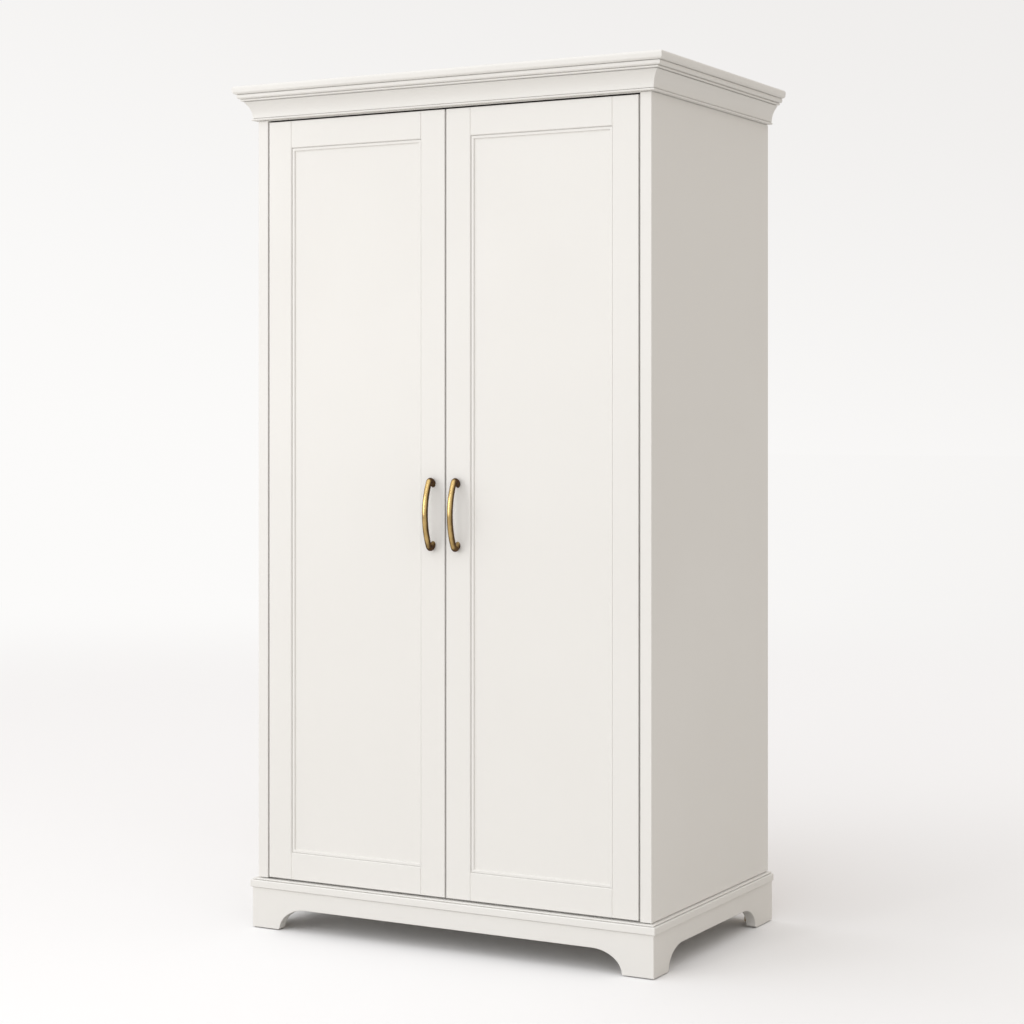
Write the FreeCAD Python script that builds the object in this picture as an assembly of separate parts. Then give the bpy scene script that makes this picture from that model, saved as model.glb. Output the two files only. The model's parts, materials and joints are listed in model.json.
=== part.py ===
"""Two-door wardrobe: carcass, arched plinth, moulded cornice, framed doors on cup hinges.

Units are millimetres. X runs to the right, Y to the back and Z up.
The origin is on the floor, under the middle of the overall box.
"""

import FreeCAD
import Part
import math
import os

Vector = FreeCAD.Vector

# Overall sizes
CARCASS_WIDTH = 950.0
CARCASS_DEPTH = 600.0
BASE_HEIGHT = 110.0
CARCASS_HEIGHT = 1650.0
CORNICE_HEIGHT = 75.0
CORNICE_REACH = 42.0

# Boards
SIDE_THICK = 25.0
BOARD_THICK = 18.0
BACK_THICK = 6.0
RABBET_WIDTH = 10.0
PANEL_SLACK = 0.5
RAIL_HEIGHT = 90.0
BATTEN_WIDTH = 60.0
BATTEN_THICK = 14.0

# Reference planes
HALF = CARCASS_WIDTH / 2
FRONT = CORNICE_REACH - (CARCASS_DEPTH + CORNICE_REACH) / 2
BACK = FRONT + CARCASS_DEPTH
TOP = BASE_HEIGHT + CARCASS_HEIGHT
INNER = HALF - SIDE_THICK
FLOOR_BOARD_TOP = BASE_HEIGHT + BOARD_THICK
CEILING = TOP - BOARD_THICK
BACK_INSIDE = BACK - BACK_THICK
BOARD_MIDDLES = (BASE_HEIGHT + BOARD_THICK / 2, TOP - BOARD_THICK / 2)

# Doors
DOOR_THICK = 22.0
DOOR_GAP = 4.0
TOP_GAP = 4.0
BOTTOM_GAP = 2.0
STILE_WIDTH = 58.0
TOP_RAIL_WIDTH = 58.5
BOTTOM_RAIL_WIDTH = 58.0
ARRIS = 1.5
SOFT_EDGE = 0.8
ROUND_CORNER = 1.6
GROOVE_DEPTH = 10.0
PANEL_THICK = 8.0
PANEL_RECESS = 6.0
BEAD_RECESS = 2.6
BEAD_WIDTH = 6.8
BEAD_ROUND = 1.6
QUIRK_WIDTH = 1.2
QUIRK_DEPTH = 2.0
DOOR_LEFT = -INNER + DOOR_GAP
DOOR_RIGHT = -DOOR_GAP / 2
DOOR_LOW = BASE_HEIGHT + BOTTOM_GAP
DOOR_HIGH = TOP - TOP_GAP
DOOR_BACK = FRONT + DOOR_THICK
STOP_GAP = 2.0
STOP_FACE = DOOR_BACK + STOP_GAP

# Bow handles
HANDLE_X = -30.0
HANDLE_Z = 911.0
HANDLE_RADIUS = 6.2
HANDLE_REACH = 32.6
BOW_RADIUS = 150.0
ELBOW_RADIUS = 7.5
ELBOW_Z = 63.0
FOOT_ANGLE = 40.0

# Hinges, placed from each door's outer front corner
HINGE_HEIGHTS = (213.0, 700.0, 1170.0, 1657.0)
CUP_CENTRE = 22.5
CUP_RADIUS = 17.5
CUP_DEPTH = 12.5
CUP_WALL = 1.0
CUP_FLOOR = 0.8
FLANGE_THICK = 1.0
FLANGE_RADIUS = 19.5
EAR_OFFSET = 9.5
EAR_SCREW = 22.5
NOSE_INNER = 24.6
NOSE_OUTER = 30.5
NOSE_HALF = 5.0
NOSE_ANGLES = (27.0, 82.0)
ARM_BASE = 1.0
ARM_TOP = 8.0
ARM_NECK = 25.5
ARM_SHOULDER = 34.0
ARM_END = 92.0
ARM_HALF = 8.0
PLATE_SETBACK = 2.0
LINK_INNER = 26.0
LINK_WEB = 31.0
LINK_OUTER = 32.0
LINK_GAP = 0.4
LINK_THICK = 2.0
LINK_ANGLES = (26.0, 80.0)
LINK_WEB_END = 60.0
PLATE_SCREW = 59.0
WING_SCREW = 18.0
WING_HALF = 6.0
EAR_HALF = 5.0
ADJUSTER_RADIUS = 4.0
ADJUSTER_THICK = 2.0

# Plinth and base moulding, measured outwards from the carcass faces
PLINTH_OUT = 9.0
PLINTH_THICK = 22.0
PLINTH_TOP = 88.0
GLIDE_THICK = 2.5
GLIDE_RADIUS = 11.0
GLIDE_INSET = 28.0
ARCH_TOP = 49.0
ARCH_CURVE = 68.0
FOOT_FRONT = 62.0
FOOT_REAR = 91.0
TOE_CHAMFER = 3.0
BLOCK = 24.0
MOULDING_OUT = 13.0
MOULDING_IN = -50.0
BASE_GAP_IN = -5.0
DOOR_GROOVE_LOW = 103.0

# Cornice, measured outwards from the carcass faces
CROWN_GAP_IN = -3.0
CROWN_IN = -18.0
CROWN_THIN = -7.0
CAP_THICK = 17.5
CAP_LOW = TOP + CORNICE_HEIGHT - CAP_THICK
CAP_HIGH = TOP + CORNICE_HEIGHT
COVE_LOW = (8.8, TOP + 6.8)
COVE_HIGH = (23.0, TOP + 41.4)

# Inside fittings
SHELF_LOW = 1440.0
SHELF_FRONT = FRONT + 60.0
RAIL_Z = 1385.0
RAIL_Y = (FRONT + BACK) / 2
RAIL_RADIUS = 12.5
RAIL_WALL = 1.5
WALL_HOLE_X = 300.0
WALL_HOLE_RADIUS = 3.5
SOCKET_FLANGE = 3.0
SOCKET_FLANGE_RADIUS = 24.0
SOCKET_RADIUS = 15.0
SOCKET_LENGTH = 14.0
SOCKET_SCREW_CIRCLE = 19.5
SOCKET_SCREW_TURNS = (90, 210, 330)
BATTEN_SCREW_HEIGHTS = (250.0, 580.0, 910.0, 1240.0, 1570.0)
BOARD_SCREWS_X = (-420.0, -220.0)
PEG_RADIUS = 2.5
PEG_IN = 9.0
PEG_SPOON = 2.0
PEG_COLLAR = 4.2
PEG_REACH = 12.0
PEG_SETBACKS = (50.0, 430.0)
DOWEL_RADIUS = 4.0
DOWEL_LENGTH = 34.0
DOWEL_IN = 14.0
DOWEL_SETBACKS = (80.0, 300.0, 520.0)
CATCH_X = -45.0
CATCH_WIDTH = 44.0
CATCH_HEIGHT = 14.0
CATCH_DEPTH = 16.0
CATCH_AIR = 0.5
CATCH_BODY = 28.0
CATCH_EAR = 3.0
CATCH_SCREW = 18.0
MAGNET_WIDTH = 22.0
MAGNET_HEIGHT = 7.0
MAGNET_DEPTH = 8.0
STRIKE_THICK = 1.0
STRIKE_FLOOR = 0.4
BUMPER_RADIUS = 5.0
BUMPER_THICK = 1.5
BUMPER_INSET = 16.0
PILOT_SLACK = 0.05
TOUCHING = 1e-6

UP = Vector(0, 0, 1)
RIGHT = Vector(1, 0, 0)
LEFT = Vector(-1, 0, 0)
INWARDS = Vector(0, 1, 0)
OUTWARDS = Vector(0, -1, 0)

nodes = {}


# ---------------------------------------------------------------- helpers

def box(x0, x1, y0, y1, z0, z1):
    """A box between two corners."""
    return Part.makeBox(x1 - x0, y1 - y0, z1 - z0, Vector(x0, y0, z0))


def rod(radius, start, direction, length):
    """A round bar from its start point."""
    return Part.makeCylinder(radius, length, start, direction)


def mirrored(shape):
    """The same shape on the other side of the wardrobe."""
    return shape.mirror(Vector(0, 0, 0), RIGHT)


def both(shapes):
    """The shapes and their mirror images."""
    return shapes + [mirrored(shape) for shape in shapes]


def group(shapes):
    """Separate solids kept in one node."""
    return Part.makeCompound(shapes)


def fused(shapes):
    """One solid made from touching pieces."""
    return shapes[0].fuse(shapes[1:]).removeSplitter()


def marked_edges(board, points):
    """The edges of a board that pass through the given points."""
    marks = [Part.Vertex(point) for point in points]
    return [
        edge
        for edge in board.Edges
        if any(edge.distToShape(mark)[0] < TOUCHING for mark in marks)
    ]


def bevelled(board, points):
    """A board with small chamfers along the edges that pass through the given points."""
    return board.makeChamfer(ARRIS, marked_edges(board, points))


def softened(board, points, radius=SOFT_EDGE):
    """A board with rounded edges where they pass through the given points."""
    return board.makeFillet(radius, marked_edges(board, points))


def outline_face(outline, place):
    """A flat face from (out, up) steps; a pair of points is an arc through the first."""
    edges = []
    here = place(*outline[0])
    for step in outline[1:] + outline[:1]:
        if isinstance(step[0], tuple):
            end = place(*step[1])
            edges.append(Part.Arc(here, place(*step[0]), end).toShape())
        else:
            end = place(*step)
            edges.append(Part.LineSegment(here, end).toShape())
        here = end
    return Part.Face(Part.Wire(edges))


def prism(points, low, high):
    """A plan polygon raised from one height to another."""
    corners = [Vector(x, y, low) for x, y in points]
    return Part.Face(Part.makePolygon(corners + corners[:1])).extrude(Vector(0, 0, high - low))


def front_run(outline, inside, outside, low, high):
    """A moulding along the front, mitred where it meets both side runs."""
    reach = HALF + outside
    face = outline_face(outline, lambda out, up: Vector(-reach, FRONT - out, up))
    bar = face.extrude(Vector(2 * reach, 0, 0))
    near = HALF + inside
    plan = [
        (-near, FRONT - inside),
        (near, FRONT - inside),
        (reach, FRONT - outside),
        (-reach, FRONT - outside),
    ]
    return bar.common(prism(plan, low, high))


def right_run(outline, inside, outside, low, high):
    """A moulding along the right side, mitred at the front and square at the back."""
    face = outline_face(outline, lambda out, up: Vector(HALF + out, FRONT - outside, up))
    bar = face.extrude(Vector(0, BACK - FRONT + outside, 0))
    plan = [
        (HALF + inside, FRONT - inside),
        (HALF + outside, FRONT - outside),
        (HALF + outside, BACK),
        (HALF + inside, BACK),
    ]
    return bar.common(prism(plan, low, high))


def corner_waste(outside):
    """What is trimmed to round the front right corner of a moulding or board."""
    x = HALF + outside
    y = FRONT - outside
    radius = ROUND_CORNER
    square = box(x - radius, x, y, y + radius, 0, CAP_HIGH)
    return square.cut(rod(radius, Vector(x - radius, y + radius, 0), UP, CAP_HIGH))


def screw(surface, direction, length, shank_radius, head_radius, head_thick):
    """A screw whose head stands on a surface and whose shank points along direction."""
    head = rod(head_radius, surface - direction * head_thick, direction, head_thick)
    return fused([head, rod(shank_radius, surface, direction, length)])


def pilot(surface, direction, length, shank_radius):
    """The hole that a screw shank sits in."""
    return rod(shank_radius + PILOT_SLACK, surface, direction, length + PILOT_SLACK)


def ring_sector(centre, inner, outer, angles, low, high):
    """Part of a flat ring about a vertical axis, between two angles in degrees."""
    def place(radius, angle):
        turn = math.radians(angle)
        return Vector(centre.x + radius * math.cos(turn), centre.y + radius * math.sin(turn), low)

    first, last = angles
    middle = (first + last) / 2
    edges = [
        Part.Arc(place(outer, first), place(outer, middle), place(outer, last)).toShape(),
        Part.LineSegment(place(outer, last), place(inner, last)).toShape(),
        Part.Arc(place(inner, last), place(inner, middle), place(inner, first)).toShape(),
        Part.LineSegment(place(inner, first), place(outer, first)).toShape(),
    ]
    return Part.Face(Part.Wire(edges)).extrude(Vector(0, 0, high - low))


# ---------------------------------------------------------------- fixings

class Fixings:
    """Screws of one size, with the pilot holes that they need."""

    def __init__(self, length, shank_radius, head_radius, head_thick):
        self.length = length
        self.shank_radius = shank_radius
        self.head_radius = head_radius
        self.head_thick = head_thick
        self.screws = []
        self.pilots = []

    def add(self, surface, direction):
        """Drive one screw into a surface."""
        self.screws.append(
            screw(
                surface,
                direction,
                self.length,
                self.shank_radius,
                self.head_radius,
                self.head_thick,
            )
        )
        self.pilots.append(pilot(surface, direction, self.length, self.shank_radius))


def hinge_corner(height):
    """The left door's outer front corner at one hinge, which is also the door's axis."""
    return Vector(DOOR_LEFT, FRONT, height)


def plate_fixings():
    """The screws of the left hinge plates, into the left side panel."""
    fixings = Fixings(length=16.0, shank_radius=1.9, head_radius=3.8, head_thick=2.0)
    for height in HINGE_HEIGHTS:
        for step in (-WING_SCREW, WING_SCREW):
            surface = hinge_corner(height) + Vector(ARM_BASE, PLATE_SCREW, step)
            fixings.add(surface, LEFT)
    return fixings


def cup_fixings():
    """The screws of the left hinge cups, into the left door."""
    fixings = Fixings(length=11.0, shank_radius=1.7, head_radius=3.4, head_thick=1.4)
    for height in HINGE_HEIGHTS:
        for step in (-EAR_SCREW, EAR_SCREW):
            across = CUP_CENTRE + EAR_OFFSET
            surface = hinge_corner(height) + Vector(across, DOOR_THICK + FLANGE_THICK, step)
            fixings.add(surface, OUTWARDS)
    return fixings


def handle_fixings():
    """The two screws through the left door into its handle."""
    fixings = Fixings(length=26.0, shank_radius=2.0, head_radius=4.3, head_thick=2.2)
    for end in (-1, 1):
        fixings.add(Vector(HANDLE_X, DOOR_BACK, HANDLE_Z + end * handle_foot_z()), OUTWARDS)
    return fixings


def socket_fixings():
    """The screws of the left rail socket, round its flange."""
    fixings = Fixings(length=14.0, shank_radius=1.7, head_radius=3.2, head_thick=1.4)
    flange_face = -INNER + SOCKET_FLANGE
    for turn in SOCKET_SCREW_TURNS:
        across = SOCKET_SCREW_CIRCLE * math.cos(math.radians(turn))
        up = SOCKET_SCREW_CIRCLE * math.sin(math.radians(turn))
        fixings.add(Vector(flange_face, RAIL_Y + across, RAIL_Z + up), LEFT)
    return fixings


def catch_fixings():
    """The screws of the left magnetic catch, up through its ears into the top board."""
    fixings = Fixings(length=12.0, shank_radius=1.5, head_radius=2.8, head_thick=1.2)
    depth = DOOR_BACK + STRIKE_THICK + CATCH_AIR + CATCH_DEPTH / 2
    for step in (-CATCH_SCREW, CATCH_SCREW):
        fixings.add(Vector(CATCH_X + step, depth, CEILING - CATCH_EAR), UP)
    return fixings


def strike_seat():
    """Where the screw's head rests inside the left strike plate."""
    return Vector(CATCH_X, DOOR_BACK + STRIKE_FLOOR, CEILING - CATCH_HEIGHT / 2)


def strike_fixings():
    """The screw of the left strike plate, with its head flush in the plate."""
    head_thick = STRIKE_THICK - STRIKE_FLOOR
    fixings = Fixings(length=9.0, shank_radius=1.5, head_radius=3.0, head_thick=head_thick)
    fixings.add(strike_seat(), OUTWARDS)
    return fixings


def back_fixings():
    """The screws of the left back panel, with heads sunk flush in the panel."""
    fixings = Fixings(length=13.0, shank_radius=1.6, head_radius=3.2, head_thick=1.6)
    surface_y = BACK - fixings.head_thick
    for height in BATTEN_SCREW_HEIGHTS:
        fixings.add(Vector(-BATTEN_WIDTH / 4, surface_y, height), OUTWARDS)
    for across in BOARD_SCREWS_X:
        for height in BOARD_MIDDLES:
            fixings.add(Vector(across, surface_y, height), OUTWARDS)
    return fixings


def dowels():
    """The dowels between the left side panel and the top and bottom boards."""
    pins = []
    for height in BOARD_MIDDLES:
        for setback in DOWEL_SETBACKS:
            start = Vector(-INNER - DOWEL_IN, FRONT + setback, height)
            pins.append(rod(DOWEL_RADIUS, start, RIGHT, DOWEL_LENGTH))
    return pins


def dowel_holes():
    """The holes for the left dowels, a little long and a little wide."""
    radius = DOWEL_RADIUS + PILOT_SLACK
    holes = []
    for pin in dowels():
        middle = pin.CenterOfMass
        start = middle - Vector(DOWEL_LENGTH / 2 + PANEL_SLACK, 0, 0)
        holes.append(rod(radius, start, RIGHT, DOWEL_LENGTH + 2 * PANEL_SLACK))
    return holes


def shelf_pegs():
    """The pegs under the left end of the hat shelf: a pin in the side and a spoon."""
    pegs = []
    for setback in PEG_SETBACKS:
        depth = SHELF_FRONT + setback
        start = Vector(-INNER - PEG_IN, depth, SHELF_LOW - PEG_RADIUS - PEG_SPOON)
        pin = rod(PEG_RADIUS, start, RIGHT, PEG_IN + PEG_SPOON)
        spoon = box(
            -INNER,
            -INNER + PEG_REACH,
            depth - PEG_COLLAR,
            depth + PEG_COLLAR,
            SHELF_LOW - PEG_SPOON,
            SHELF_LOW,
        )
        collar = rod(PEG_COLLAR, start + Vector(PEG_IN, 0, 0), RIGHT, PEG_SPOON)
        pegs.append(fused([pin, collar, spoon]))
    return pegs


def peg_holes():
    """The blind holes for the left pegs."""
    holes = []
    for setback in PEG_SETBACKS:
        depth = SHELF_FRONT + setback
        start = Vector(-INNER - PEG_IN - PANEL_SLACK, depth, SHELF_LOW - PEG_RADIUS - PEG_SPOON)
        holes.append(rod(PEG_RADIUS + PILOT_SLACK, start, RIGHT, PEG_IN + PANEL_SLACK))
    return holes


# ---------------------------------------------------------------- carcass

def make_sides():
    """The two side panels, rabbeted for the back and bored for their fittings."""
    panel = box(-HALF, -INNER, FRONT, BACK, BASE_HEIGHT, TOP)
    middle = (BASE_HEIGHT + TOP) / 2
    panel = softened(panel, [Vector(-HALF, FRONT, middle)], ROUND_CORNER)
    panel = softened(panel, [Vector(-INNER, FRONT, middle), Vector(-HALF, BACK, middle)])
    rabbet = box(-INNER - RABBET_WIDTH, -INNER, BACK_INSIDE, BACK, BASE_HEIGHT, TOP)
    bores = plate_fixings().pilots + socket_fixings().pilots + dowel_holes() + peg_holes()
    panel = panel.cut([rabbet] + bores)
    nodes["side_left"] = panel
    nodes["side_right"] = mirrored(panel)


def make_boards():
    """The top and bottom boards between the sides, set back behind the doors."""
    holes = both(dowel_holes() + back_fixings().pilots + catch_fixings().pilots)
    for name, low in (("bottom_panel", BASE_HEIGHT), ("top_panel", CEILING)):
        board = box(-INNER, INNER, STOP_FACE, BACK_INSIDE, low, low + BOARD_THICK)
        nodes[name] = board.cut(holes)


def wall_holes():
    """The two holes for fixing the wardrobe to a wall."""
    height = CEILING - RAIL_HEIGHT / 2
    start_y = BACK_INSIDE - BOARD_THICK
    return [
        rod(WALL_HOLE_RADIUS, Vector(across, start_y, height), INWARDS, BACK - start_y)
        for across in (-WALL_HOLE_X, WALL_HOLE_X)
    ]


def make_back():
    """Two thin back panels, the batten over their joint and the wall-fixing rail."""
    fixings = back_fixings()
    heads = []
    for hole in fixings.pilots:
        centre = hole.CenterOfMass
        centre.y = BACK
        heads.append(rod(fixings.head_radius + PILOT_SLACK, centre, OUTWARDS, fixings.head_thick))
    outer = -INNER - RABBET_WIDTH + PANEL_SLACK
    panel = box(outer, -PANEL_SLACK / 2, BACK_INSIDE, BACK, BASE_HEIGHT, TOP)
    panel = panel.cut(fixings.pilots + heads + wall_holes())
    nodes["back_left"] = panel
    nodes["back_right"] = mirrored(panel)

    half = BATTEN_WIDTH / 2
    rail_low = CEILING - RAIL_HEIGHT
    pilots = both(fixings.pilots)
    batten = box(-half, half, BACK_INSIDE - BATTEN_THICK, BACK_INSIDE, FLOOR_BOARD_TOP, rail_low)
    nodes["back_batten"] = batten.cut(pilots)
    rail = box(-INNER, INNER, BACK_INSIDE - BOARD_THICK, BACK_INSIDE, rail_low, CEILING)
    nodes["wall_fixing_rail"] = rail.cut(wall_holes() + pilots)
    nodes["back_screws"] = group(both(fixings.screws))


def make_inside():
    """The hat shelf, its pegs, the hanging rail and its sockets."""
    shelf_back = BACK_INSIDE - BATTEN_THICK
    shelf = box(
        -INNER + PANEL_SLACK,
        INNER - PANEL_SLACK,
        SHELF_FRONT,
        shelf_back,
        SHELF_LOW,
        SHELF_LOW + BOARD_THICK,
    )
    rim = [Vector(0, SHELF_FRONT, SHELF_LOW), Vector(0, SHELF_FRONT, SHELF_LOW + BOARD_THICK)]
    nodes["hat_shelf"] = softened(shelf, rim)
    nodes["shelf_pegs"] = group(both(shelf_pegs()))

    start = Vector(-INNER + SOCKET_FLANGE, RAIL_Y, RAIL_Z)
    length = 2 * (INNER - SOCKET_FLANGE)
    tube = rod(RAIL_RADIUS, start, RIGHT, length)
    nodes["hanging_rail"] = tube.cut(rod(RAIL_RADIUS - RAIL_WALL, start, RIGHT, length))

    fixings = socket_fixings()
    wall = Vector(-INNER, RAIL_Y, RAIL_Z)
    flange = rod(SOCKET_FLANGE_RADIUS, wall, RIGHT, SOCKET_FLANGE)
    collar = rod(SOCKET_RADIUS, wall, RIGHT, SOCKET_LENGTH)
    seat = rod(RAIL_RADIUS + 2 * PILOT_SLACK, start, RIGHT, SOCKET_LENGTH)
    socket = fused([flange, collar]).cut([seat] + fixings.pilots)
    nodes["rail_sockets"] = group(both([socket]))
    nodes["inside_screws"] = group(both(fixings.screws + catch_fixings().screws))


# ---------------------------------------------------------------- base

def arch_cutters(first_foot_end, last_foot_start, place, through):
    """What is cut from a plinth board: a low arch with elliptical shoulders, and toe chamfers."""
    below = -GLIDE_THICK
    edges = [
        Part.LineSegment(place(first_foot_end, below), place(last_foot_start, below)).toShape(),
        Part.LineSegment(
            place(first_foot_end + ARCH_CURVE, ARCH_TOP),
            place(last_foot_start - ARCH_CURVE, ARCH_TOP),
        ).toShape(),
    ]
    chamfers = []
    for foot, way in ((first_foot_end, 1), (last_foot_start, -1)):
        heel = place(foot, GLIDE_THICK)
        centre = place(foot + way * ARCH_CURVE, GLIDE_THICK)
        ellipse = Part.Ellipse(heel, place(foot + way * ARCH_CURVE, ARCH_TOP), centre)
        edges.append(Part.ArcOfEllipse(ellipse, 0, math.pi / 2).toShape())
        edges.append(Part.LineSegment(heel, place(foot, below)).toShape())
        toe = [
            place(foot - way * TOE_CHAMFER, GLIDE_THICK),
            place(foot + way * TOE_CHAMFER, GLIDE_THICK),
            place(foot, GLIDE_THICK + TOE_CHAMFER),
        ]
        chamfers.append(Part.Face(Part.makePolygon(toe + toe[:1])).extrude(through))
    opening = Part.Face(Part.Wire(Part.sortEdges(edges)[0])).extrude(through)
    return [opening] + chamfers


def arch_points(first_foot_end, last_foot_start):
    """One point on the arch's straight edge and one on each shoulder, as (along, up)."""
    slant = math.sqrt(0.5)
    shoulder = ARCH_CURVE * (1 - slant)
    up = GLIDE_THICK + (ARCH_TOP - GLIDE_THICK) * slant
    return [
        ((first_foot_end + last_foot_start) / 2, ARCH_TOP),
        (first_foot_end + shoulder, up),
        (last_foot_start - shoulder, up),
    ]


def make_plinth():
    """Arched boards at the front and sides, a plain rail behind, and the corner blocks."""
    inside = PLINTH_OUT - PLINTH_THICK
    section = [
        (inside, GLIDE_THICK),
        (PLINTH_OUT, GLIDE_THICK),
        (PLINTH_OUT, PLINTH_TOP),
        (inside, PLINTH_TOP),
    ]
    front = front_run(section, inside, PLINTH_OUT, 0.0, PLINTH_TOP)
    waste = corner_waste(PLINTH_OUT)

    def before(along, up):
        return Vector(along, FRONT - 2 * PLINTH_OUT, up)

    through = Vector(0, 2 * PLINTH_THICK, 0)
    ends = (-HALF + FOOT_FRONT, HALF - FOOT_FRONT)
    front = front.cut(arch_cutters(*ends, before, through))
    rim = [Vector(x, FRONT - PLINTH_OUT, z) for x, z in arch_points(*ends)]
    nodes["plinth_front"] = softened(front, rim, ROUND_CORNER).cut([waste, mirrored(waste)])

    side = right_run(section, inside, PLINTH_OUT, 0.0, PLINTH_TOP)

    def beside(along, up):
        return Vector(HALF + 2 * PLINTH_OUT, along, up)

    through = Vector(-2 * PLINTH_THICK, 0, 0)
    ends = (FRONT + FOOT_FRONT, BACK - FOOT_REAR)
    side = side.cut(arch_cutters(*ends, beside, through))
    rim = [Vector(HALF + PLINTH_OUT, y, z) for y, z in arch_points(*ends)]
    side = softened(side, rim, ROUND_CORNER).cut(waste)
    nodes["plinth_right"] = side
    nodes["plinth_left"] = mirrored(side)

    inner = HALF + inside
    nodes["plinth_back"] = box(-inner, inner, BACK - PLINTH_THICK, BACK, ARCH_TOP, PLINTH_TOP)

    blocks = []
    glides = []
    for start_y in (FRONT - inside, BACK - PLINTH_THICK - BLOCK):
        blocks.append(
            box(-inner, -inner + BLOCK, start_y, start_y + BLOCK, GLIDE_THICK, PLINTH_TOP)
        )
    edge_x = -HALF - PLINTH_OUT + GLIDE_INSET
    for glide_y in (FRONT - PLINTH_OUT + GLIDE_INSET, BACK - PLINTH_THICK - GLIDE_INSET / 2):
        glides.append(rod(GLIDE_RADIUS, Vector(edge_x, glide_y, 0), UP, GLIDE_THICK))
    nodes["corner_blocks"] = group(both(blocks))
    nodes["floor_glides"] = group(both(glides))


def make_base_moulding():
    """The moulded frame that the carcass stands on: a flat nose, a quirk and a small step."""
    base = PLINTH_TOP
    face = [
        (7.0, base),
        (7.0, base + 1.2),
        (12.0, base + 1.2),
        ((12.7, base + 1.5), (MOULDING_OUT, base + 2.2)),
        (MOULDING_OUT, base + 14.4),
        ((12.4, base + 15.8), (11.0, base + 16.4)),
        (5.0, base + 16.4),
        (5.0, base + 17.8),
        (8.0, base + 17.8),
        (8.0, base + 18.6),
        ((7.6, base + 19.5), (6.8, base + 19.8)),
        (BASE_GAP_IN, base + 19.8),
        (BASE_GAP_IN, BASE_HEIGHT),
    ]
    under_doors = [
        (BASE_GAP_IN, DOOR_GROOVE_LOW),
        (-DOOR_THICK, DOOR_GROOVE_LOW),
        (-DOOR_THICK, BASE_HEIGHT),
    ]
    inner = [(MOULDING_IN, BASE_HEIGHT), (MOULDING_IN, PLINTH_TOP)]
    run = (MOULDING_IN, MOULDING_OUT, PLINTH_TOP, BASE_HEIGHT)
    waste = corner_waste(MOULDING_OUT)
    front = front_run(face[:-1] + under_doors + inner, *run)
    nodes["base_moulding_front"] = front.cut([waste, mirrored(waste)])
    side = right_run(face + inner, *run).cut(waste)
    nodes["base_moulding_right"] = side
    nodes["base_moulding_left"] = mirrored(side)


# ---------------------------------------------------------------- cornice

def cove_middle():
    """The middle of the cove's arc, which leaves the lower edge straight up."""
    run = COVE_HIGH[0] - COVE_LOW[0]
    rise = COVE_HIGH[1] - COVE_LOW[1]
    radius = (run * run + rise * rise) / (2 * run)
    half_turn = math.asin(rise / radius) / 2
    out = COVE_LOW[0] + radius * (1 - math.cos(half_turn))
    return (out, COVE_LOW[1] + radius * math.sin(half_turn))


def make_cornice():
    """Crown mouldings on three sides, a rail at the back and the moulded cap board."""
    face = [
        (CROWN_GAP_IN, TOP),
        (CROWN_GAP_IN, TOP + 1.5),
        (9.0, TOP + 1.5),
        ((11.0, TOP + 3.5), (9.0, TOP + 5.5)),
        (5.5, TOP + 5.5),
        (5.5, TOP + 6.8),
        COVE_LOW,
        (cove_middle(), COVE_HIGH),
        (19.5, COVE_HIGH[1]),
        (19.5, TOP + 43.0),
        (26.2, TOP + 43.0),
        ((28.2, TOP + 45.0), (26.6, TOP + 47.1)),
        (25.2, TOP + 47.1),
        (25.2, TOP + 47.8),
        (30.6, TOP + 47.8),
        ((33.0, TOP + 49.4), (34.0, TOP + 52.4)),
        (34.0, CAP_LOW - 1.2),
        (30.0, CAP_LOW - 1.2),
        (30.0, CAP_LOW),
    ]

    def crown(inside):
        return face + [(inside, CAP_LOW), (inside, TOP)]

    outside = CORNICE_REACH
    nodes["cornice_front"] = front_run(crown(CROWN_THIN), CROWN_THIN, outside, TOP, CAP_LOW)
    side = right_run(crown(CROWN_IN), CROWN_IN, outside, TOP, CAP_LOW)
    nodes["cornice_right"] = side
    nodes["cornice_left"] = mirrored(side)
    inner = HALF + CROWN_IN
    nodes["cornice_back_rail"] = box(-inner, inner, BACK + CROWN_IN, BACK, TOP, CAP_LOW)

    edge = [
        (CROWN_IN, CAP_LOW),
        (35.4, CAP_LOW),
        ((39.6, CAP_LOW + 1.8), (41.4, CAP_LOW + 6.0)),
        (CORNICE_REACH, CAP_HIGH - 6.4),
        ((40.2, CAP_HIGH - 1.8), (35.8, CAP_HIGH)),
        (CROWN_IN, CAP_HIGH),
    ]
    side = right_run(edge, CROWN_IN, CORNICE_REACH, CAP_LOW, CAP_HIGH)
    pieces = [
        box(-inner, inner, FRONT - CROWN_IN, BACK, CAP_LOW, CAP_HIGH),
        front_run(edge, CROWN_IN, CORNICE_REACH, CAP_LOW, CAP_HIGH),
        side,
        mirrored(side),
    ]
    waste = corner_waste(CORNICE_REACH)
    nodes["cornice_cap"] = fused(pieces).cut([waste, mirrored(waste)])


# ---------------------------------------------------------------- doors

def door_left_bores():
    """Everything bored into the left door: hinge cups and screw holes."""
    cups = []
    for height in HINGE_HEIGHTS:
        centre = Vector(DOOR_LEFT + CUP_CENTRE, DOOR_BACK, height)
        cups.append(rod(CUP_RADIUS, centre, OUTWARDS, CUP_DEPTH))
    screws = (cup_fixings(), handle_fixings(), strike_fixings())
    return cups + [hole for fixings in screws for hole in fixings.pilots]


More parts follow.
